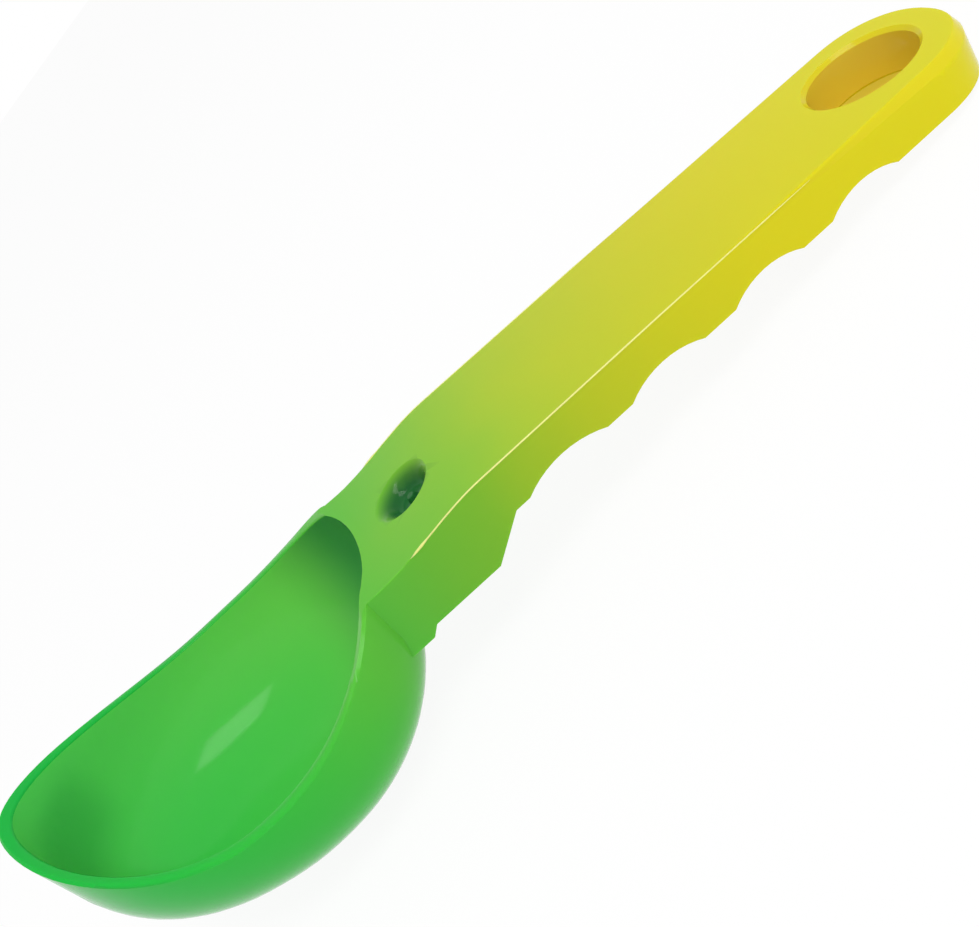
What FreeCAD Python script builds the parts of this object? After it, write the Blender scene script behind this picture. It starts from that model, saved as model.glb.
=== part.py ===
"""Moulded one-piece ice cream scoop: flat grip handle with finger scallops, dished neck and an egg bowl.

Units are millimetres. The scoop is drawn with its handle's top face level: a station is the distance
from the end of that face towards the bowl (along -X), heights are measured from that face, and Y is the
width. The finished solid is then tipped until the bowl's belly and the hanging end touch the table.
"""
import FreeCAD, Part
from FreeCAD import Vector
import math
import os

# Handle
HANDLE_LENGTH = 94.4
HANDLE_WIDTH_AT_END = 27.5
HANDLE_WIDTH_AT_NECK = 31.7
HANDLE_THICKNESS = 7.8
END_ROUND_LENGTH = 11.5
END_ROUND_POWER = 2.2

# Hanging hole
HANG_HOLE_DIAMETER = 17.3
HANG_HOLE_SETBACK = 12.9
HANG_HOLE_BEVEL = 0.6

# Finger scallops under the handle: first and last station of each, and their common depth
SCALLOP_SPANS = [(21.3, 33.6), (39.0, 51.8), (57.6, 71.3), (76.0, 90.8)]
SCALLOP_DEPTH = 1.9

# Neck: the top face dips in an S towards the bowl, then runs level to the rim's corner
DIP_LENGTH = 20.5
DIP_DEPTH = 2.4
NECK_FLAT_LENGTH = 3.4

# Finger guard and heel under the neck: the guard starts short of the dip, the heel short of its end
GUARD_LEAD = 1.0
GUARD_LENGTH = 7.1
GUARD_DROP = 5.2
HEEL_LEAD = 2.0
HEEL_STEP_LENGTH = 1.55
HEEL_STEP = 1.4

# Slant facet round the hanging end and along both top edges, where it runs out
FACET_LENGTH = 62.0
FACET_INSET = 1.15
FACET_END_INSET = 0.6
FACET_DROP = 1.6

# Gate dimple in the middle of the dip
DIMPLE_RADIUS = 6.6
DIMPLE_LIP_RISE = 0.25
DIMPLE_SLOPE_DEPTH = 0.75
WELL_RADIUS = 4.0
WELL_DEPTH = 2.6
GATE_NUB_RADIUS = 1.0
GATE_NUB_HEIGHT = 0.9

# Bowl: how far its back reaches under the neck, its reach behind and ahead of its widest place, and its wall
BOWL_UNDER_NECK = 2.1
BOWL_REACH_BEHIND = 33.0
BOWL_REACH_AHEAD = 38.2
BOWL_WIDTH = 58.4
BOWL_TOP_LEVEL = -4.1
BOWL_DEPTH = 28.2
WALL = 1.9
BACK_PLAN_POWER = 2.2
FRONT_PLAN_POWER = 1.8
BACK_SECTION_POWER = 2.2
SIDE_SECTION_POWER = 2.6
FRONT_SECTION_POWER = 3.1

# Rim line in the side view: it leaves the neck, sags along the sides and rises to the tip
RIM_LOW_AHEAD = 2.7
RIM_SAG = 7.7
RIM_TIP_LEVEL = 2.8
RIM_BACK_FULLNESS = 2.47
RIM_FRONT_FULLNESS = 1.88
RIM_OUTER_BEVEL = 0.5
RIM_INNER_BEVEL = 0.3

# Stations and levels that follow from the sizes above
DIP_END = HANDLE_LENGTH + DIP_LENGTH
RIM_CORNER = DIP_END + NECK_FLAT_LENGTH
GUARD_START = HANDLE_LENGTH - GUARD_LEAD
GUARD_DEPTH = HANDLE_THICKNESS + GUARD_DROP
HEEL_START = DIP_END - HEEL_LEAD
HEEL_DEPTH = GUARD_DEPTH + HEEL_STEP
BOWL_BACK = DIP_END - BOWL_UNDER_NECK
BOWL_WIDEST = BOWL_BACK + BOWL_REACH_BEHIND
BOWL_TIP = BOWL_WIDEST + BOWL_REACH_AHEAD
HEEL_END = BOWL_BACK + BOWL_REACH_BEHIND / 2
RIM_LOW_STATION = BOWL_WIDEST + RIM_LOW_AHEAD
RIM_LOW_LEVEL = -DIP_DEPTH - RIM_SAG

# How finely the free curves are drawn
END_STEPS = 12
DIP_STEPS = 8
RIM_STEPS = 14
KEEL_STEPS = 200
OUTLINE_POINTS = 24
BOWL_BANDS = 14
LOWEST_BAND_ANGLE = 7.0
RIM_BAND_CLEARANCE = 1.1
BOWL_HEADROOM = 9.0
MARGIN = 30.0
TOUCH = 0.01
EDGE_SHARES = (0.1, 0.5, 0.9)


def at(station, y, z):
    """Point at a station, a width and a height."""
    return Vector(-station, y, z)


def half_width(station):
    """Half of the handle's tapered width at a station."""
    taper = (HANDLE_WIDTH_AT_NECK - HANDLE_WIDTH_AT_END) / DIP_END
    return (HANDLE_WIDTH_AT_END + taper * station) / 2


def steps_between(first, last, count):
    """Evenly spaced values from first to last, in count steps."""
    return [first + (last - first) * step / count for step in range(count + 1)]


def spline(points):
    """Smooth curve through the points, as an edge."""
    curve = Part.BSplineCurve()
    curve.interpolate(points)
    return curve.toShape()


def dip_level(station):
    """Height of the neck's top face along its S-shaped dip."""
    share = min(max((station - HANDLE_LENGTH) / DIP_LENGTH, 0.0), 1.0)
    return -DIP_DEPTH * share * share * (3 - 2 * share)


def rim_level(station):
    """Height of the rim line in the side view."""
    if station < RIM_LOW_STATION:
        share = (RIM_LOW_STATION - station) / (RIM_LOW_STATION - RIM_CORNER)
        return RIM_LOW_LEVEL + RIM_SAG * share ** RIM_BACK_FULLNESS
    share = (station - RIM_LOW_STATION) / (BOWL_TIP - RIM_LOW_STATION)
    return RIM_LOW_LEVEL + (RIM_TIP_LEVEL - RIM_LOW_LEVEL) * share ** RIM_FRONT_FULLNESS


def end_point(turn, inset_share):
    """Point of the rounded hanging end at a turn (-90 to 90 degrees from side to side).

    An inset share of 0 gives the widest outline and 1 the crease where the slant facet meets the top face.
    """
    power = 2 / END_ROUND_POWER
    ahead = abs(math.cos(turn)) ** power
    aside = math.copysign(abs(math.sin(turn)) ** power, turn)
    station = END_ROUND_LENGTH * (1 - ahead) - FACET_END_INSET * (1 - inset_share) * ahead
    inset = FACET_INSET * (1 - station / FACET_LENGTH)
    return at(station, aside * (half_width(station) - inset * inset_share), 0)


def plan_solid():
    """Handle seen from above: rounded hanging end and straight sides that widen to the neck."""
    turns = steps_between(-math.pi / 2, math.pi / 2, 2 * END_STEPS)
    points = [end_point(turn, 0.0) for turn in turns]
    neck_left = at(HEEL_END, -half_width(HEEL_END), 0)
    neck_right = at(HEEL_END, half_width(HEEL_END), 0)
    edges = [
        spline(points),
        Part.makeLine(points[-1], neck_right),
        Part.makeLine(neck_right, neck_left),
        Part.makeLine(neck_left, points[0]),
    ]
    face = Part.Face(Part.Wire(edges))
    face.translate(Vector(0, 0, -HEEL_DEPTH - MARGIN))
    return face.extrude(Vector(0, 0, HEEL_DEPTH + 2 * MARGIN))


def underside_edges():
    """Lower edge of the side view, from the hanging end to the heel: lands, scallops, guard and heel."""
    floor = -HANDLE_THICKNESS
    edges = []
    corner = at(-MARGIN, 0, floor)
    for first, last in SCALLOP_SPANS:
        start = at(first, 0, floor)
        crown = at((first + last) / 2, 0, floor + SCALLOP_DEPTH)
        end = at(last, 0, floor)
        edges.append(Part.makeLine(corner, start))
        edges.append(Part.Arc(start, crown, end).toShape())
        corner = end
    guard_end = GUARD_START + GUARD_LENGTH
    corners = [
        corner,
        at(GUARD_START, 0, floor),
        at(guard_end, 0, -GUARD_DEPTH),
        at(HEEL_START, 0, -GUARD_DEPTH),
        at(HEEL_START + HEEL_STEP_LENGTH, 0, -HEEL_DEPTH),
        at(HEEL_END, 0, -HEEL_DEPTH),
    ]
    for first, last in zip(corners, corners[1:]):
        edges.append(Part.makeLine(first, last))
    return edges


def side_solid():
    """Handle and neck seen from the side up to well above the top face, wider than the handle."""
    edges = underside_edges()
    front = [
        at(-MARGIN, 0, -HANDLE_THICKNESS),
        at(-MARGIN, 0, MARGIN),
        at(HEEL_END, 0, MARGIN),
        at(HEEL_END, 0, -HEEL_DEPTH),
    ]
    for first, last in zip(front, front[1:]):
        edges.append(Part.makeLine(first, last))
    face = Part.Face(Part.Wire(Part.__sortEdges__(edges)))
    face.translate(Vector(0, -BOWL_WIDTH, 0))
    return face.extrude(Vector(0, 2 * BOWL_WIDTH, 0))


def above_top():
    """Region above the whole top line: flat handle, S-shaped dip, flat neck, then the sagging rim."""
    level = Vector(-1, 0, 0)
    dip = Part.BSplineCurve()
    dip.interpolate(
        Points=[at(station, 0, dip_level(station)) for station in steps_between(HANDLE_LENGTH, DIP_END, DIP_STEPS)],
        InitialTangent=level,
        FinalTangent=level,
    )
    rim_stations = steps_between(RIM_CORNER, BOWL_TIP + 1, RIM_STEPS)
    rim = [at(station, 0, rim_level(station)) for station in rim_stations]
    sky = [
        rim[-1],
        at(BOWL_TIP + 1, 0, MARGIN),
        at(-MARGIN, 0, MARGIN),
        at(-MARGIN, 0, 0),
        at(HANDLE_LENGTH, 0, 0),
    ]
    edges = [
        dip.toShape(),
        Part.makeLine(at(DIP_END, 0, -DIP_DEPTH), rim[0]),
        spline(rim),
    ]
    for first, last in zip(sky, sky[1:]):
        edges.append(Part.makeLine(first, last))
    face = Part.Face(Part.Wire(Part.__sortEdges__(edges)))
    face.translate(Vector(0, -BOWL_WIDTH, 0))
    return face.extrude(Vector(0, 2 * BOWL_WIDTH, 0))


def wedge_section(crease, outward):
    """Triangle that cuts the slant facet: its long side passes through the crease and slants outward."""
    slant = outward - Vector(0, 0, FACET_DROP)
    high = crease - slant
    low = crease + slant * 2
    corner = Vector(low.x, low.y, high.z)
    return Part.makePolygon([high, low, corner, high])


def facet_cutters():
    """Wedges that plane the facet: one round the hanging end and one along each side."""
    turns = steps_between(-math.pi / 2, math.pi / 2, END_STEPS)
    round_end = []
    for turn in turns:
        crease = end_point(turn, 1.0)
        outward = end_point(turn, 0.0) - crease
        round_end.append(wedge_section(crease, outward))
    cutters = [Part.makeLoft(round_end, True, False)]
    past = FACET_LENGTH + END_ROUND_LENGTH
    for side, section in ((-1, round_end[0]), (1, round_end[-1])):
        inset = FACET_INSET * (1 - past / FACET_LENGTH)
        crease = at(past, side * (half_width(past) - inset), 0)
        last = wedge_section(crease, Vector(0, side * FACET_INSET, 0))
        cutters.append(Part.makeLoft([section, last], True, True))
    return cutters


def handle_solid():
    """Handle and neck block with its facets, still open above its top face."""
    body = side_solid().common(plan_solid())
    for cutter in facet_cutters():
        body = body.cut(cutter)
    return body


def hanging_hole():
    """Round pin that opens the hanging hole and bevels both of its edges."""
    radius = HANG_HOLE_DIAMETER / 2
    mouth = radius + HANG_HOLE_BEVEL
    floor = -HANDLE_THICKNESS
    profile = [
        Vector(0, 0, floor - MARGIN),
        Vector(mouth, 0, floor - MARGIN),
        Vector(mouth, 0, floor),
        Vector(radius, 0, floor + HANG_HOLE_BEVEL),
        Vector(radius, 0, -HANG_HOLE_BEVEL),
        Vector(mouth, 0, 0),
        Vector(mouth, 0, MARGIN),
        Vector(0, 0, MARGIN),
    ]
    pin = Part.Face(Part.makePolygon(profile + profile[:1])).revolve(Vector(0, 0, 0), Vector(0, 0, 1), 360)
    pin.translate(at(HANG_HOLE_SETBACK, 0, 0))
    return pin


def section_power(turn):
    """Fullness of the bowl's wall at a turn about its middle (0 at the back, pi at the tip)."""
    toward = math.cos(turn)
    end_power = BACK_SECTION_POWER if toward > 0 else FRONT_SECTION_POWER
    return SIDE_SECTION_POWER + (end_power - SIDE_SECTION_POWER) * toward * toward


def bowl_outline(drop, inset):
    """Closed level outline of the bowl, a share of its depth below its top level, moved in by the inset."""
    back = BOWL_REACH_BEHIND - inset
    front = BOWL_REACH_AHEAD - inset
    half = BOWL_WIDTH / 2 - inset
    points = []
    for step in range(OUTLINE_POINTS):
        turn = 2 * math.pi * step / OUTLINE_POINTS
        along, across = math.cos(turn), math.sin(turn)
        power = BACK_PLAN_POWER if along > 0 else FRONT_PLAN_POWER
        reach = back if along > 0 else front
        fullness = section_power(turn)
        radius = (1 - drop ** fullness) ** (1 / fullness)
        station = BOWL_WIDEST - math.copysign(abs(along) ** (2 / power), along) * reach * radius
        y = math.copysign(abs(across) ** (2 / power), across) * half * radius
        level = BOWL_TOP_LEVEL - drop * (BOWL_DEPTH - inset)
        points.append(at(station, y, level))
    turns = steps_between(0.0, 1.0, OUTLINE_POINTS)
    curve = Part.BSplineCurve()
    curve.interpolate(Points=points, Parameters=turns, PeriodicFlag=True)
    return Part.Wire(curve.toShape())


def bowl_form(inset):
    """Solid egg of the bowl, in ruled bands from its flat lowest level to just under the rim, then upright."""
    power = 2 / SIDE_SECTION_POWER
    first = math.radians(LOWEST_BAND_ANGLE)
    highest = (BOWL_TOP_LEVEL - RIM_LOW_LEVEL + RIM_BAND_CLEARANCE) / BOWL_DEPTH
    last = math.acos(highest ** (1 / power))
    wires = [bowl_outline(math.cos(angle) ** power, inset) for angle in steps_between(first, last, BOWL_BANDS)]
    top = bowl_outline(0.0, inset)
    top.translate(Vector(0, 0, BOWL_HEADROOM))
    return Part.makeLoft(wires + [top], True, True)


def gate_dimple():
    """Soft round crater with a deeper well, turned about an axis square to the neck's sloping top."""
    slope_middle = (DIMPLE_RADIUS + WELL_RADIUS) / 2
    lip = [
        Vector(DIMPLE_RADIUS, 0, DIMPLE_LIP_RISE),
        Vector(slope_middle, 0, -DIMPLE_LIP_RISE / 2),
        Vector(WELL_RADIUS * 1.1, 0, -DIMPLE_SLOPE_DEPTH),
        Vector(WELL_RADIUS * 0.94, 0, -WELL_DEPTH * 0.62),
        Vector(WELL_RADIUS * 0.78, 0, -WELL_DEPTH * 0.93),
        Vector(WELL_RADIUS * 0.5, 0, -WELL_DEPTH),
    ]
    axis_bottom = Vector(0, 0, -WELL_DEPTH)
    corners = [
        lip[-1],
        axis_bottom,
        Vector(0, 0, DIMPLE_RADIUS),
        Vector(DIMPLE_RADIUS, 0, DIMPLE_RADIUS),
        lip[0],
    ]
    edges = [spline(lip)]
    for first, last in zip(corners, corners[1:]):
        edges.append(Part.makeLine(first, last))
    crater = Part.Face(Part.Wire(edges)).revolve(Vector(0, 0, 0), Vector(0, 0, 1), 360)
    nub = Part.makeCone(GATE_NUB_RADIUS, GATE_NUB_RADIUS * 0.7, GATE_NUB_HEIGHT, axis_bottom)
    crater = crater.cut(nub)
    middle = HANDLE_LENGTH + DIP_LENGTH / 2
    slope = math.atan2(dip_level(middle - 1) - dip_level(middle + 1), 2)
    crater.rotate(Vector(0, 0, 0), Vector(0, 1, 0), -math.degrees(slope))
    crater.translate(at(middle, 0, dip_level(middle)))
    return crater


def rest_tilt():
    """Tip, in degrees, at which the bowl's belly and the hanging end touch one level table."""
    halves = ((-BOWL_REACH_BEHIND, BACK_SECTION_POWER), (BOWL_REACH_AHEAD, FRONT_SECTION_POWER))
    keel = []
    for radius in steps_between(0.0, 1.0, KEEL_STEPS):
        for reach, fullness in halves:
            drop = (1 - radius ** fullness) ** (1 / fullness)
            keel.append((BOWL_WIDEST + reach * radius, BOWL_TOP_LEVEL - BOWL_DEPTH * drop))
    return max(math.degrees(math.atan2(-HANDLE_THICKNESS - level, station)) for station, level in keel)


def long_edge_on(body, first, second):
    """Longest edge of the body that lies on the skins of both shapes."""
    found = []
    for edge in body.Edges:
        span = edge.LastParameter - edge.FirstParameter
        samples = [Part.Vertex(edge.valueAt(edge.FirstParameter + span * share)) for share in EDGE_SHARES]
        if all(shape.distToShape(sample)[0] < TOUCH for shape in (first, second) for sample in samples):
            found.append(edge)
    return max(found, key=lambda edge: edge.Length)


def level_scoop():
    """The scoop with its handle's top face level, before the rest tilt."""
    sky = above_top()
    outer = bowl_form(0.0)
    inner = bowl_form(WALL)
    body = handle_solid().fuse(outer).cut(sky).cut(inner).removeSplitter()
    for form, bevel in ((inner, RIM_INNER_BEVEL), (outer, RIM_OUTER_BEVEL)):
        rim = long_edge_on(body, sky.Shells[0], form.Shells[0])
        body = body.makeChamfer(bevel, [rim])
    return body.cut(hanging_hole()).cut(gate_dimple())


def scoop():
    """The whole scoop as one solid, at rest on the table with its box centred over the origin."""
    body = level_scoop()
    body.rotate(Vector(0, 0, 0), Vector(0, 1, 0), rest_tilt())
    box = body.optimalBoundingBox(False, False)
    body.translate(Vector(-(box.XMin + box.XMax) / 2, -(box.YMin + box.YMax) / 2, -box.ZMin))
    return body


os.makedirs("parts", exist_ok=True)
solid = scoop()
print("volume", round(solid.Volume), "solids", len(solid.Solids), "faces", len(solid.Faces), solid.isValid())
box = solid.optimalBoundingBox(False, False)
print("box", [round(value, 2) for value in (box.XMin, box.YMin, box.ZMin, box.XMax, box.YMax, box.ZMax)])
solid.exportStep("parts/scoop.step")
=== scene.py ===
"""Looks of the moulded ice cream scoop: fading green-to-yellow plastic with painted shade, painted light and
a painted highlight, its fine edges, and a studio whose floor has a painted patch under the hanging hole.

Lengths are metres in the row frame, unless a name or docstring says millimetres. +X runs from the bowl's tip
towards the hanging end, +Z is up, and the scoop is symmetric about Y = 0. A station is the distance along the
handle's top face from its hanging end towards the bowl, in millimetres. A local place is -station, width and
height over the top face, in millimetres.
"""

import logging
import math
from dataclasses import dataclass, replace
from enum import Enum

import bmesh
import bpy
from mathutils import Euler, Matrix, Vector

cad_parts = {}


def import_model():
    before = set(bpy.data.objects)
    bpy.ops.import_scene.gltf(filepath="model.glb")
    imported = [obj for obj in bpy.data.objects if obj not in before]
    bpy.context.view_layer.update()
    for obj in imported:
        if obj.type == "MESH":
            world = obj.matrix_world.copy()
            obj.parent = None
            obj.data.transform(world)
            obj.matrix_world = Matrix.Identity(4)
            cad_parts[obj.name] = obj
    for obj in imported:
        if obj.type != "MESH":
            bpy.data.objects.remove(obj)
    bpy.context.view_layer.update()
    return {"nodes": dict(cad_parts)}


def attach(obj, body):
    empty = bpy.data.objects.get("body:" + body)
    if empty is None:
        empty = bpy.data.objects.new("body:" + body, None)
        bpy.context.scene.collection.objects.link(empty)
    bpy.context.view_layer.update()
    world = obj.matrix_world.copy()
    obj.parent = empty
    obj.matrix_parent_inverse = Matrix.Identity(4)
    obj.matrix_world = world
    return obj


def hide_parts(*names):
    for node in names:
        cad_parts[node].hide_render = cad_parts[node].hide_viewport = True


LOG = logging.getLogger("scoop")
MM = 0.001

Triple = tuple[float, float, float]
Colour = tuple[float, float, float, float]
WHITE: Colour = (1.0, 1.0, 1.0, 1.0)


class NodeType(Enum):
    """Shader nodes that the materials are built from."""

    COORDINATES = "ShaderNodeTexCoord"
    ATTRIBUTE = "ShaderNodeAttribute"
    SEPARATE = "ShaderNodeSeparateXYZ"
    RAMP = "ShaderNodeValToRGB"
    RANGE = "ShaderNodeMapRange"
    NOISE = "ShaderNodeTexNoise"
    MIX = "ShaderNodeMix"
    LIGHT_PATH = "ShaderNodeLightPath"
    MATHS = "ShaderNodeMath"
    VECTOR_MATHS = "ShaderNodeVectorMath"
    MIX_SHADER = "ShaderNodeMixShader"
    EMISSION = "ShaderNodeEmission"


def linear(channel: float) -> float:
    """Linear value of one display channel between 0 and 255."""
    share = channel / 255
    return share / 12.92 if share <= 0.04045 else ((share + 0.055) / 1.055) ** 2.4


def paint(red: float, green: float, blue: float) -> Colour:
    """Linear colour with full alpha from display channels between 0 and 255."""
    return (linear(red), linear(green), linear(blue), 1.0)


def new_piece(name: str, form: bmesh.types.BMesh, material: bpy.types.Material) -> bpy.types.Object:
    """Turn a finished form into an object of the scene.

    Args:
        name: Name of the object and of its mesh.
        form: The form, which is freed.
        material: The material of all its faces.

    Returns:
        The object, at the origin.
    """
    mesh = bpy.data.meshes.new(name)
    form.to_mesh(mesh)
    form.free()
    mesh.materials.append(material)
    piece = bpy.data.objects.new(name, mesh)
    bpy.context.scene.collection.objects.link(piece)
    LOG.info("%s made, %d faces", name, len(mesh.polygons))
    return piece


@dataclass(frozen=True)
class Fade:
    """Smooth rise from 0 at its start to 1 at its end."""

    start: float
    end: float

    def at(self, value: float) -> float:
        """Share that is reached at a value."""
        share = min(max((value - self.start) / (self.end - self.start), 0.0), 1.0)
        return share * share * (3 - 2 * share)


@dataclass
class NodeGraph:
    """Adds and joins the nodes of one material or world."""

    tree: bpy.types.NodeTree

    def add(self, kind: NodeType, **settings: str) -> bpy.types.ShaderNode:
        """Add a node.

        Args:
            kind: What the node does.
            **settings: Its menu choices, such as operation.

        Returns:
            The node.
        """
        node = self.tree.nodes.new(kind.value)
        for name, value in settings.items():
            setattr(node, name, value)
        return node

    def feed(self, node: bpy.types.ShaderNode, inputs: dict[str | int, object]) -> None:
        """Join sockets to a node's inputs, or set them to plain values.

        Args:
            node: The node.
            inputs: A socket, number or colour for each input, by its name or place.
        """
        for name, value in inputs.items():
            if isinstance(value, bpy.types.NodeSocket):
                self.tree.links.new(value, node.inputs[name])
            else:
                node.inputs[name].default_value = value

    def mix(
        self,
        share: bpy.types.NodeSocket | float,
        one: bpy.types.NodeSocket | Colour,
        other: bpy.types.NodeSocket | Colour,
    ) -> bpy.types.NodeSocket:
        """Mix two colours.

        Args:
            share: How much of the other colour.
            one: First colour.
            other: Other colour.

        Returns:
            The mixed colour.
        """
        mixer = self.add(NodeType.MIX, data_type="RGBA")
        self.feed(mixer, {0: share, 6: one, 7: other})
        return mixer.outputs[2]

    def ranged(
        self,
        value: bpy.types.NodeSocket,
        source: tuple[float, float] = (0.0, 1.0),
        result: tuple[float, float] = (0.0, 1.0),
    ) -> bpy.types.NodeSocket:
        """Turn one range of numbers into another.

        Args:
            value: The number.
            source: Range that it comes from, which it is held to.
            result: Range that it goes to.

        Returns:
            The new number.
        """
        scale = self.add(NodeType.RANGE)
        limits = {"From Min": source[0], "From Max": source[1], "To Min": result[0], "To Max": result[1]}
        self.feed(scale, {"Value": value, **limits})
        return scale.outputs["Result"]

    def maths(
        self,
        operation: str,
        one: bpy.types.NodeSocket,
        other: bpy.types.NodeSocket,
    ) -> bpy.types.NodeSocket:
        """Work out one number from two.

        Args:
            operation: Blender's name of the sum.
            one: First number.
            other: Second number.

        Returns:
            The result.
        """
        total = self.add(NodeType.MATHS, operation=operation)
        self.feed(total, {0: one, 1: other})
        return total.outputs["Value"]

    def background_seen(self) -> bpy.types.NodeSocket:
        """1 where the background is looked at, straight, mirrored or through glass, and 0 where it lights."""
        path = self.add(NodeType.LIGHT_PATH)
        seen = path.outputs["Is Camera Ray"]
        for name in ("Is Glossy Ray", "Is Transmission Ray"):
            seen = self.maths("MAXIMUM", seen, path.outputs[name])
        return seen


@dataclass(frozen=True)
class FadeStop:
    """One stop of the colour fade along the scoop."""

    x_mm: float
    colour: Triple


@dataclass(frozen=True)
class PlasticFinish:
    """Glossy, slightly translucent moulded plastic whose colour fades along the scoop, with fades of painted
    shade and painted light and a painted highlight.
    """

    stops: tuple[FadeStop, ...]
    # The first of these two fades is painted shade, the second painted light.
    painted_shade: tuple[FadeStop, ...]
    thin: tuple[FadeStop, ...]
    roughness: float
    specular: float
    subsurface: float
    subsurface_depth: float
    subsurface_radius: Triple = (0.6, 1.0, 0.3)
    cloud_size: float = 26.0
    cloud_detail: float = 2.0
    cloud_shift: float = 0.055
    # Share of a pale yellow mixed in as a painted highlight.
    painted_highlight: float = 0.0
    highlight_colour: Colour = (1.0, 1.0, 0.3, 1.0)


SURFACE_FADE = (
    FadeStop(-92.0, (16, 183, 68)),
    FadeStop(-66.0, (40, 187, 65)),
    FadeStop(-40.0, (70, 190, 65)),
    FadeStop(-20.0, (110, 192, 56)),
    FadeStop(-6.0, (134, 196, 50)),
    FadeStop(4.0, (162, 200, 45)),
    FadeStop(16.0, (186, 203, 38)),
    FadeStop(28.0, (199, 205, 33)),
    FadeStop(40.0, (208, 207, 26)),
    FadeStop(54.0, (216, 209, 20)),
    FadeStop(92.0, (223, 216, 12)),
)

# Painted shade: darker, more ochre copies of the fade for the hanging hole, the gate dimple, the bowl's back
# and low front, the handle's facet and its upright sides.
PAINTED_SHADE_FADE = (
    FadeStop(-92.0, (26, 158, 70)),
    FadeStop(-60.0, (40, 140, 64)),
    FadeStop(-27.0, (70, 150, 80)),
    FadeStop(-16.0, (28, 98, 46)),
    FadeStop(2.0, (28, 98, 46)),
    FadeStop(30.0, (214, 190, 50)),
    FadeStop(60.0, (232, 206, 62)),
    FadeStop(92.0, (230, 200, 62)),
)

# Painted light: lighter copies of the fade where light comes through the bowl's wall.
PAINTED_LIGHT_FADE = (
    FadeStop(-92.0, (98, 222, 106)),
    FadeStop(-66.0, (116, 222, 98)),
    FadeStop(-40.0, (126, 222, 96)),
    FadeStop(92.0, (180, 236, 80)),
)

SCOOP_PLASTIC = PlasticFinish(
    stops=SURFACE_FADE,
    painted_shade=PAINTED_SHADE_FADE,
    thin=PAINTED_LIGHT_FADE,
    roughness=0.12,
    specular=0.08,
    subsurface=0.3,
    subsurface_depth=2.0 * MM,
)

# The flash's pale colour is a painted highlight along the handle's top edges.
FLASH_PLASTIC = replace(
    SCOOP_PLASTIC,
    roughness=0.25,
    specular=0.4,
    subsurface_depth=1.0 * MM,
    cloud_shift=0.05,
    painted_highlight=0.8,
)


@dataclass
class PlasticMaterial:
    """Builds the fading plastic as a node material, which reads the marks "thin" for painted light and
    "depth" for painted shade of a mesh.
    """

    name: str
    finish: PlasticFinish

    def build(self) -> bpy.types.Material:
        """Make the material.

        Returns:
            The node material.
        """
        material = bpy.data.materials.new(self.name)
        material.use_nodes = True
        self.graph = NodeGraph(material.node_tree)
        finish = self.finish
        along = self.clouded()
        colour = self.fade(along, finish.stops)
        # The mark "thin" mixes in painted light and the mark "depth" painted shade.
        for mark, shades in (("thin", finish.thin), ("depth", finish.painted_shade)):
            attribute = self.graph.add(NodeType.ATTRIBUTE, attribute_name=mark)
            colour = self.graph.mix(attribute.outputs["Fac"], colour, self.fade(along, shades))
        # Painted highlight: a pale yellow mixed into the colour.
        if finish.painted_highlight:
            colour = self.graph.mix(finish.painted_highlight, colour, finish.highlight_colour)
        surface = {
            "Base Color": colour,
            "Roughness": finish.roughness,
            "Specular IOR Level": finish.specular,
            "Subsurface Weight": finish.subsurface,
            "Subsurface Radius": finish.subsurface_radius,
            "Subsurface Scale": finish.subsurface_depth,
        }
        self.graph.feed(material.node_tree.nodes["Principled BSDF"], surface)
        return material

    def clouded(self) -> bpy.types.NodeSocket:
        """Place along the scoop as a share of its length, shifted to and fro by soft clouds.

        Returns:
            The share that drives the fade.
        """
        coordinates = self.graph.add(NodeType.COORDINATES).outputs["Object"]
        split = self.graph.add(NodeType.SEPARATE)
        self.graph.feed(split, {0: coordinates})
        ends = (self.finish.stops[0].x_mm * MM, self.finish.stops[-1].x_mm * MM)
        along = self.graph.ranged(split.outputs["X"], source=ends)
        clouds = self.graph.add(NodeType.NOISE)
        pattern = {"Vector": coordinates, "Scale": self.finish.cloud_size, "Detail": self.finish.cloud_detail}
        self.graph.feed(clouds, pattern)
        swing = (-self.finish.cloud_shift, self.finish.cloud_shift)
        shift = self.graph.ranged(clouds.outputs["Fac"], result=swing)
        return self.graph.maths("ADD", along, shift)

    def fade(self, along: bpy.types.NodeSocket, stops: tuple[FadeStop, ...]) -> bpy.types.NodeSocket:
        """Colour fade over the length.

        Args:
            along: Share of the length.
            stops: Colours from the bowl's tip to the hanging end.

        Returns:
            The colour.
        """
        first, last = self.finish.stops[0].x_mm, self.finish.stops[-1].x_mm
        ramp = self.graph.add(NodeType.RAMP)
        ramp.color_ramp.interpolation = "B_SPLINE"
        elements = ramp.color_ramp.elements
        while len(elements) < len(stops):
            elements.new(0.5)
        for element, stop in zip(elements, stops):
            element.position = (stop.x_mm - first) / (last - first)
            element.color = paint(*stop.colour)
        self.graph.feed(ramp, {"Fac": along})
        return ramp.outputs["Color"]


@dataclass(frozen=True)
class ScoopPlace:
    """How the handle's top face lies in the row frame."""

    tilt_degrees: float
    end_x: float
    end_z: float

    def matrix(self) -> Matrix:
        """From local places, in metres, to the row frame."""
        turn = Matrix.Rotation(math.radians(self.tilt_degrees), 4, "Y")
        return Matrix.Translation((self.end_x, 0.0, self.end_z)) @ turn

    def point(self, station_mm: float, y_mm: float, z_mm: float) -> Vector:
        """Row-frame point at a station, a width and a height over the top face, in millimetres."""
        return self.matrix() @ Vector((-station_mm * MM, y_mm * MM, z_mm * MM))


SCOOP_PLACE = ScoopPlace(tilt_degrees=9.8513, end_x=0.09143924, end_z=0.00778764)


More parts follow.
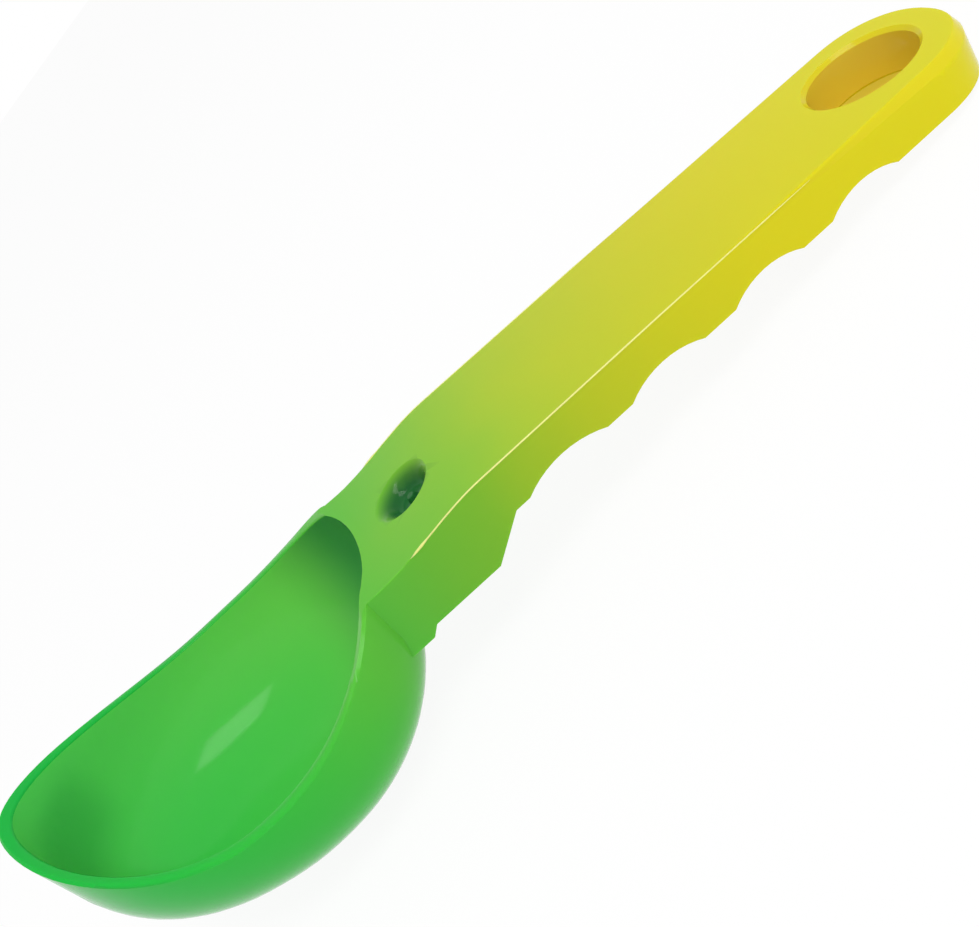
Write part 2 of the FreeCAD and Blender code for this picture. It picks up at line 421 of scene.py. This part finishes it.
@dataclass(frozen=True)
class Egg:
    """The egg that the bowl's outside or inside follows, in millimetres of station, width and height."""

    widest: float
    behind: float
    ahead: float
    half_width: float
    top: float
    depth: float
    plan_power_behind: float = 2.2
    plan_power_ahead: float = 1.8
    back_fullness: float = 2.2
    side_fullness: float = 2.6
    tip_fullness: float = 3.1

    def inner(self, wall: float) -> "Egg":
        """The same egg inside an even wall."""
        return replace(
            self,
            behind=self.behind - wall,
            ahead=self.ahead - wall,
            half_width=self.half_width - wall,
            depth=self.depth - wall,
        )

    def value(self, station: float, y: float, z: float) -> float:
        """Below 0 inside the egg, 0 on it and above 0 outside."""
        along = self.widest - station
        is_behind = along > 0
        reach = self.behind if is_behind else self.ahead
        power = self.plan_power_behind if is_behind else self.plan_power_ahead
        end_fullness = self.back_fullness if is_behind else self.tip_fullness
        radius = (abs(along / reach) ** power + abs(y / self.half_width) ** power) ** (1 / power)
        drop = max(0.0, (self.top - z) / self.depth)
        toward = math.cos(math.atan2(y / self.half_width, along / reach))
        fullness = self.side_fullness + (end_fullness - self.side_fullness) * toward * toward
        return (radius**fullness + drop**fullness) ** (1 / fullness) - 1

    def slope(self, place: Vector, step: float = 0.05) -> Vector:
        """Outward gradient at a local place.

        Args:
            place: The local place.
            step: Millimetres to each side for the measure.

        Returns:
            The gradient along the local axes.
        """
        parts = []
        for axis in range(3):
            ends = []
            for sign in (1, -1):
                near = place.copy()
                near[axis] += sign * step
                ends.append(self.value(-near.x, near.y, near.z))
            parts.append((ends[0] - ends[1]) / (2 * step))
        return Vector(parts)


OUTSIDE = Egg(widest=145.8, behind=33.0, ahead=38.2, half_width=29.2, top=-4.1, depth=28.2)
INSIDE = OUTSIDE.inner(wall=1.9)


@dataclass(frozen=True)
class Tones:
    """Where the plastic gets painted shade, as in its recesses, and painted light where light comes through
    the bowl's wall.

    Lengths are millimetres at local places. Painted shades and painted lights are shares from 0 to 1.
    """

    hole_station: float = 12.9
    hole_radius: float = 8.65
    hole_margin: float = 0.2
    # Painted shade on the hanging hole's wall and bevel.
    hole_wall_shade: float = 1.0
    hole_bevel_shade: float = 0.4
    gate_station: float = 104.65
    dimple_radius: float = 6.6
    dimple_lowest: float = -6.0
    dimple_shade: Fade = Fade(6.3, 3.2)
    dimple_face_reach: float = 6.1
    dimple_face_area: float = 12.0 * MM * MM
    # Painted shade at the bowl's back and low at its front.
    bowl_back: Fade = Fade(138.0, 118.0)
    bowl_front: Fade = Fade(175.0, 181.0)
    front_under_rim: Fade = Fade(-1.0, -7.0)
    front_over_floor: Fade = Fade(-20.0, -12.0)
    front_shade: float = 0.4
    facet_station: float = 62.0
    facet_shade: Fade = Fade(62.0, 30.0)
    # Painted shade on the handle's facet, at most this share.
    facet_painted_shade: float = 0.3
    facet_steepest: float = 0.3
    facet_flattest: float = 0.93
    # Painted shade on the handle's upright sides.
    side_shade: float = 0.16
    # Painted light where light comes through the bowl's wall, high on the far side and at the front.
    light_rise: Fade = Fade(-30.0, -12.0)
    light_far: Fade = Fade(-12.0, 14.0)
    light_front: Fade = Fade(150.0, 172.0)
    least_light: float = 0.3
    added_light: float = 0.5

    def painted_light_share(self, place: Vector) -> float:
        """Painted light for light that comes through the bowl's wall: most high on the far side and at the
        front.
        """
        rise = self.light_rise.at(place.z)
        where = max(self.light_far.at(place.y), self.light_front.at(-place.x))
        return self.least_light + self.added_light * rise * where

    def dished(self, middle: Vector, area: float) -> bool:
        """Whether a face, by its middle and its area in square metres, lies in the gate dimple."""
        reach = math.hypot(-middle.x - self.gate_station, middle.y)
        return reach < self.dimple_face_reach and area < self.dimple_face_area

    def bowl_shade(self, place: Vector) -> float:
        """Painted shade inside the bowl: at its back, and low at the front."""
        front = self.bowl_front.at(-place.x) * self.front_under_rim.at(place.z)
        return max(self.bowl_back.at(-place.x), self.front_shade * front * self.front_over_floor.at(place.z))

    def handle_shade(self, place: Vector, facing: Vector, dished: bool) -> float:
        """Painted shade on the handle and neck.

        Args:
            place: The local place.
            facing: Normal of the face.
            dished: Whether the face lies in the gate dimple.

        Returns:
            0 on the open faces to 1 of painted shade in the recesses.
        """
        station = -place.x
        upright = abs(facing.z) < self.facet_steepest
        if math.hypot(station - self.hole_station, place.y) < self.hole_radius + self.hole_margin:
            return self.hole_wall_shade if upright else self.hole_bevel_shade
        gate = math.hypot(station - self.gate_station, place.y)
        if gate < self.dimple_radius and place.z > self.dimple_lowest:
            return self.dimple_shade.at(gate) if dished else 0.0
        if station < self.facet_station and self.facet_steepest < facing.z < self.facet_flattest:
            return self.facet_painted_shade * self.facet_shade.at(station)
        return self.side_shade if upright else 0.0


@dataclass
class ScoopSkin:
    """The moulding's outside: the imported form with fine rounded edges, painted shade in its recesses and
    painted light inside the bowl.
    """

    packed: bpy.types.Object
    material: bpy.types.Material
    tones: Tones = Tones()
    merge_distance: float = 0.001 * MM
    flat_degrees: float = 0.4
    edge_round: float = 0.22 * MM
    edge_segments: int = 3
    sharp_degrees: float = 34.0
    rim_degrees: float = 52.0
    bowl_start_x: float = -24.0 * MM
    hole_surround: float = 1.2
    egg_reach_mm: float = 0.6
    egg_degrees: float = 15.0

    def build(self) -> bpy.types.Object:
        """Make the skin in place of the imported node.

        Returns:
            The skin.
        """
        self.inverse = SCOOP_PLACE.matrix().inverted()
        form = bmesh.new()
        form.from_mesh(self.packed.data)
        self.round_edges(form)
        self.mark_tones(form)
        normals = self.corner_normals(form)
        for face in form.faces:
            face.smooth = True
        skin = new_piece("scoop_skin", form, self.material)
        skin.data.normals_split_custom_set(normals)
        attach(skin, "root")
        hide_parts("scoop")
        return skin

    def round_edges(self, form: bmesh.types.BMesh) -> None:
        """Join the loose triangles into whole faces and round the handle's edges.

        Args:
            form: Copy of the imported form.
        """
        bmesh.ops.remove_doubles(form, verts=form.verts, dist=self.merge_distance)
        bmesh.ops.dissolve_limit(
            form,
            angle_limit=math.radians(self.flat_degrees),
            use_dissolve_boundaries=False,
            verts=form.verts,
            edges=form.edges,
            delimit=set(),
        )
        bmesh.ops.bevel(
            form,
            geom=self.handle_edges(form),
            affect="EDGES",
            offset=self.edge_round,
            offset_type="OFFSET",
            segments=self.edge_segments,
            profile=0.5,
            material=-1,
            clamp_overlap=True,
            loop_slide=True,
        )
        form.normal_update()

    def local(self, place: Vector) -> Vector:
        """Local place of a row-frame place."""
        return self.inverse @ place / MM

    def handle_edges(self, form: bmesh.types.BMesh) -> list[bmesh.types.BMEdge]:
        """Sharp edges of the handle and neck, without the hanging hole's and the bowl's.

        Args:
            form: The form whose edges are looked through.

        Returns:
            The edges to round.
        """
        limit = math.radians(self.sharp_degrees)
        surround = self.tones.hole_radius * self.hole_surround
        found = []
        for edge in form.edges:
            if not edge.is_manifold or edge.calc_face_angle() < limit:
                continue
            centre = (edge.verts[0].co + edge.verts[1].co) / 2
            place = self.local(centre)
            by_hole = math.hypot(place.x + self.tones.hole_station, place.y) < surround
            if centre.x > self.bowl_start_x and not by_hole:
                found.append(edge)
        return found

    def bowl_skin(self, face: bmesh.types.BMFace) -> Egg | None:
        """The egg that a face follows, or none.

        Args:
            face: Face of the form.

        Returns:
            The outside or inside egg, or None away from the bowl's skins.
        """
        place = self.local(face.calc_center_median())
        facing = (self.inverse.to_3x3() @ face.normal).normalized()
        closest = math.cos(math.radians(self.egg_degrees))
        for egg, sign in ((OUTSIDE, 1), (INSIDE, -1)):
            slope = egg.slope(place)
            near = abs(egg.value(-place.x, place.y, place.z)) < self.egg_reach_mm * slope.length
            if near and facing.dot(slope.normalized()) * sign > closest:
                return egg
        return None

    def corner_normals(self, form: bmesh.types.BMesh) -> list[Triple]:
        """Normals for even shading: true ones on the bowl's skins, weighted by area elsewhere.

        Args:
            form: The finished form.

        Returns:
            One normal for each corner of each face.
        """
        turn = SCOOP_PLACE.matrix().to_3x3()
        eggs = {face: self.bowl_skin(face) for face in form.faces}
        areas = {face: face.calc_area() for face in form.faces}

        def facing(face: bmesh.types.BMFace, vert: bmesh.types.BMVert) -> Vector:
            """Normal of a face at one of its corners."""
            egg = eggs[face]
            if egg is None:
                return face.normal
            slope = egg.slope(self.local(vert.co)).normalized()
            return turn @ (slope if egg is OUTSIDE else -slope)

        normals = []
        for face in form.faces:
            for vert in (corner.vert for corner in face.loops):
                if eggs[face] is not None:
                    normals.append(facing(face, vert).to_tuple())
                    continue
                limit = self.rim_degrees if vert.co.x < self.bowl_start_x else self.sharp_degrees
                total = Vector((0.0, 0.0, 0.0))
                for other in vert.link_faces:
                    if other.normal.dot(face.normal) > math.cos(math.radians(limit)):
                        total += facing(other, vert) * areas[other]
                even = total.normalized() if total.length > 0 else face.normal
                normals.append(even.to_tuple())
        return normals

    def mark_tones(self, form: bmesh.types.BMesh) -> None:
        """Write the painted shade and the painted light of the plastic at each corner.

        Args:
            form: The form that gets the two marks.
        """
        # Corner marks: painted shade in "depth", painted light in "thin".
        painted_shade = form.loops.layers.float.new("depth")
        thin = form.loops.layers.float.new("thin")
        for face in form.faces:
            facing = self.inverse.to_3x3() @ face.normal
            egg = self.bowl_skin(face)
            dished = self.tones.dished(self.local(face.calc_center_median()), face.calc_area())
            for corner in face.loops:
                place = self.local(corner.vert.co)
                if egg is INSIDE:
                    corner[painted_shade] = self.tones.bowl_shade(place)
                    corner[thin] = self.tones.painted_light_share(place)
                elif egg is None:
                    corner[painted_shade] = self.tones.handle_shade(place, facing, dished)


@dataclass(frozen=True)
class HandleEdge:
    """Where the handle's two top edges run, in millimetres, a hair inside the form."""

    end_width: float = 27.5
    neck_width: float = 31.7
    neck_station: float = 114.9
    facet_width: float = 1.15
    facet_height: float = 1.6
    facet_station: float = 62.0
    dip_shape: Fade = Fade(94.4, 114.9)
    dip_drop: float = 2.4
    sink: float = 0.05

    def facet(self, station: float) -> float:
        """Half of the share of the facet that is left at a station."""
        return 0.5 * max(0.0, 1 - station / self.facet_station)

    def half_width(self, station: float) -> float:
        """Half width of the top edge at a station."""
        widest = (self.end_width + (self.neck_width - self.end_width) / self.neck_station * station) / 2
        return widest - self.facet_width * self.facet(station) - self.sink

    def level(self, station: float) -> float:
        """Height of the top edge at a station."""
        dip = self.dip_drop * self.dip_shape.at(station)
        return -dip - self.facet_height * self.facet(station) - self.sink


@dataclass
class MouldFlash:
    """Hair-thin ridge that the mould's joint left along each top edge of the handle; its pale colour is a
    painted highlight.
    """

    material: bpy.types.Material
    edge: HandleEdge = HandleEdge()
    first_station: float = 30.0
    chip_station: float = 105.6
    chip_growth: float = 1.0
    last_station: float = 108.7
    radius: float = 0.13 * MM
    chip_radius: float = 0.26 * MM
    first_share: float = 0.15
    first_growth: float = 6.0
    last_share: float = 0.1
    last_taper: float = 2.0
    steps: int = 64
    sides: int = 6

    def build(self) -> bpy.types.Object:
        """Make the ridge on both sides.

        Returns:
            Both ridges, as one object.
        """
        form = bmesh.new()
        for side in (-1, 1):
            self.ridge(form, side)
        for face in form.faces:
            face.smooth = True
        flash = new_piece("mould_flash", form, self.material)
        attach(flash, "root")
        return flash

    def thickness(self, share: float, station: float) -> float:
        """Radius of the ridge, which grows from nothing, has a chip near its end, and ends in a point.

        Args:
            share: Share of the ridge's length.
            station: The same place as a station.

        Returns:
            The radius in metres.
        """
        chip = Fade(self.chip_station, self.chip_station + self.chip_growth).at(station)
        first = self.first_growth * share + self.first_share
        last = (self.last_station - station) / self.last_taper + self.last_share
        return (self.radius + (self.chip_radius - self.radius) * chip) * min(1.0, first, last)

    def ridge(self, form: bmesh.types.BMesh, side: int) -> None:
        """One ridge, as a thin tube of short joined rings.

        Args:
            form: The form that takes the ridge.
            side: -1 for the near edge and 1 for the far one.
        """
        turn = SCOOP_PLACE.matrix().to_3x3() @ Matrix.Rotation(math.radians(90), 3, "Y")
        rings = []
        for step in range(self.steps + 1):
            share = step / self.steps
            station = self.first_station + (self.last_station - self.first_station) * share
            radius = self.thickness(share, station)
            made = bmesh.ops.create_circle(form, cap_ends=False, segments=self.sides, radius=radius)["verts"]
            place = SCOOP_PLACE.point(station, side * self.edge.half_width(station), self.edge.level(station))
            for vert in made:
                vert.co = turn @ vert.co + place
            rings.append([edge for edge in form.edges if all(end in made for end in edge.verts)])
        for one, other in zip(rings, rings[1:]):
            bmesh.ops.bridge_loops(form, edges=one + other)
        for end in (rings[0], rings[-1]):
            bmesh.ops.contextual_create(form, geom=end)
        bmesh.ops.recalc_face_normals(form, faces=form.faces)


@dataclass(frozen=True)
class SoftLamp:
    """One rectangular lamp that points at the scoop."""

    name: str
    place: Triple
    along: Triple
    size: tuple[float, float]
    watts: float
    aim: Triple = (-0.03, 0.0, 0.02)

    def build(self) -> bpy.types.Object:
        """Hang the lamp, with its long side along its way.

        Returns:
            The lamp.
        """
        data = bpy.data.lights.new(self.name, "AREA")
        data.shape = "RECTANGLE"
        data.size, data.size_y = self.size
        data.energy = self.watts
        lamp = bpy.data.objects.new(self.name, data)
        lamp.location = self.place
        back = (Vector(self.place) - Vector(self.aim)).normalized()
        across = back.cross(Vector(self.along)).normalized()
        length = across.cross(back)
        lamp.rotation_euler = Matrix((length, across, back)).transposed().to_euler()
        bpy.context.scene.collection.objects.link(lamp)
        LOG.info("%s hung", self.name)
        return lamp


BROAD_LAMP = SoftLamp(
    name="broad_lamp",
    place=(0.25, -0.35, 0.95),
    along=(1.0, 0.0, 0.0),
    size=(1.0, 1.0),
    watts=0.5,
)

STRIP_LAMP = SoftLamp(
    name="strip_lamp",
    place=(0.161, -0.364, 0.675),
    along=(0.855, -0.256, -0.45),
    size=(0.44, 0.22),
    watts=2.8,
)


@dataclass(frozen=True)
class Studio:
    """White floor with a painted patch of shade and yellow light under the hanging hole, one broad soft lamp,
    one strip lamp and white surroundings.
    """

    lamps: tuple[SoftLamp, ...] = (BROAD_LAMP, STRIP_LAMP)
    floor_size: float = 30.0
    floor_roughness: float = 0.9
    floor_glow: float = 0.93
    # Painted patch of shade and yellow light on the floor under the hanging hole.
    painted_patch_place: Triple = (0.079, 0.0045, 0.0)
    painted_patch_radius: float = 8.8 * MM
    painted_patch_edge: float = 1.0 * MM
    painted_patch_colour: Colour = (0.85, 0.62, 0.05, 1.0)
    painted_patch_glow: float = 0.62
    world_light: float = 0.55
    world_shown: float = 1.0

    def build(self) -> None:
        """Make the floor, the lamps and the world."""
        self.floor()
        for lamp in self.lamps:
            lamp.build()
        self.world()

    def floor(self) -> bpy.types.Object:
        """Lay the wide pale floor.

        Returns:
            The floor.
        """
        form = bmesh.new()
        bmesh.ops.create_grid(form, x_segments=1, y_segments=1, size=self.floor_size)
        floor = new_piece("floor", form, self.floor_material())
        return floor

    def floor_material(self) -> bpy.types.Material:
        """White that also glows a little for the camera, so that it reads white and keeps the shadow.

        Under the hanging hole it has a painted patch: painted shade in the yellow of light that falls through
        the plastic round the hole.

        Returns:
            The node material.
        """
        material = bpy.data.materials.new("floor_white")
        material.use_nodes = True
        nodes = material.node_tree.nodes
        graph = NodeGraph(material.node_tree)
        outside = self.outside_painted_patch(graph)
        colour = graph.mix(outside, self.painted_patch_colour, WHITE)
        glow = graph.add(NodeType.EMISSION)
        graph.feed(glow, {"Color": colour})
        graph.feed(nodes["Principled BSDF"], {"Base Color": colour, "Roughness": self.floor_roughness})
        most = graph.ranged(outside, result=(self.painted_patch_glow, self.floor_glow))
        share = graph.maths("MULTIPLY", graph.background_seen(), most)
        blend = graph.add(NodeType.MIX_SHADER)
        shaders = {1: nodes["Principled BSDF"].outputs["BSDF"], 2: glow.outputs["Emission"]}
        graph.feed(blend, {"Fac": share, **shaders})
        graph.feed(nodes["Material Output"], {"Surface": blend.outputs["Shader"]})
        return material

    def outside_painted_patch(self, graph: NodeGraph) -> bpy.types.NodeSocket:
        """0 in the painted patch of shade and yellow light on the floor and 1 outside it.

        Args:
            graph: The floor's nodes.

        Returns:
            The socket with the number.
        """
        coordinates = graph.add(NodeType.COORDINATES)
        away = graph.add(NodeType.VECTOR_MATHS, operation="DISTANCE")
        graph.feed(away, {0: coordinates.outputs["Object"], 1: self.painted_patch_place})
        edge = (self.painted_patch_radius, self.painted_patch_radius + self.painted_patch_edge)
        return graph.ranged(away.outputs["Value"], source=edge)

    def world(self) -> None:
        """White surroundings that light the scoop less than they show."""
        world = bpy.data.worlds.new("studio")
        world.use_nodes = True
        graph = NodeGraph(world.node_tree)
        level = graph.ranged(graph.background_seen(), result=(self.world_light, self.world_shown))
        graph.feed(world.node_tree.nodes["Background"], {"Color": WHITE, "Strength": level})
        bpy.context.scene.world = world


@dataclass(frozen=True)
class PhotoCamera:
    """Camera at the photograph's close, strongly tilted view."""

    place: Triple = (0.019026, -0.14383, 0.096792)
    turn_degrees: Triple = (46.1848, 45.1820, -26.3553)
    lens_mm: float = 40.0
    sensor_mm: float = 36.0
    nearest: float = 0.01
    farthest: float = 10.0

    def build(self) -> bpy.types.Object:
        """Make the camera and use it for the scene.

        Returns:
            The camera.
        """
        data = bpy.data.cameras.new("photo_camera")
        data.sensor_fit = "HORIZONTAL"
        data.sensor_width = self.sensor_mm
        data.lens = self.lens_mm
        data.clip_start = self.nearest
        data.clip_end = self.farthest
        camera = bpy.data.objects.new("photo_camera", data)
        camera.location = self.place
        camera.rotation_euler = Euler([math.radians(angle) for angle in self.turn_degrees], "XYZ")
        bpy.context.scene.collection.objects.link(camera)
        bpy.context.scene.camera = camera
        LOG.info("photo_camera placed")
        return camera


def main() -> None:
    """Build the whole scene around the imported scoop."""
    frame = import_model()
    plastic = PlasticMaterial("plastic_fade", SCOOP_PLASTIC).build()
    flash = PlasticMaterial("flash_fade", FLASH_PLASTIC).build()
    ScoopSkin(frame["nodes"]["scoop"], plastic).build()
    MouldFlash(flash).build()
    Studio().build()
    PhotoCamera().build()
    bpy.context.scene.view_settings.view_transform = "Standard"
    LOG.info("scene ready")


if __name__ == "__main__":
    logging.basicConfig(level=logging.INFO)
    main()
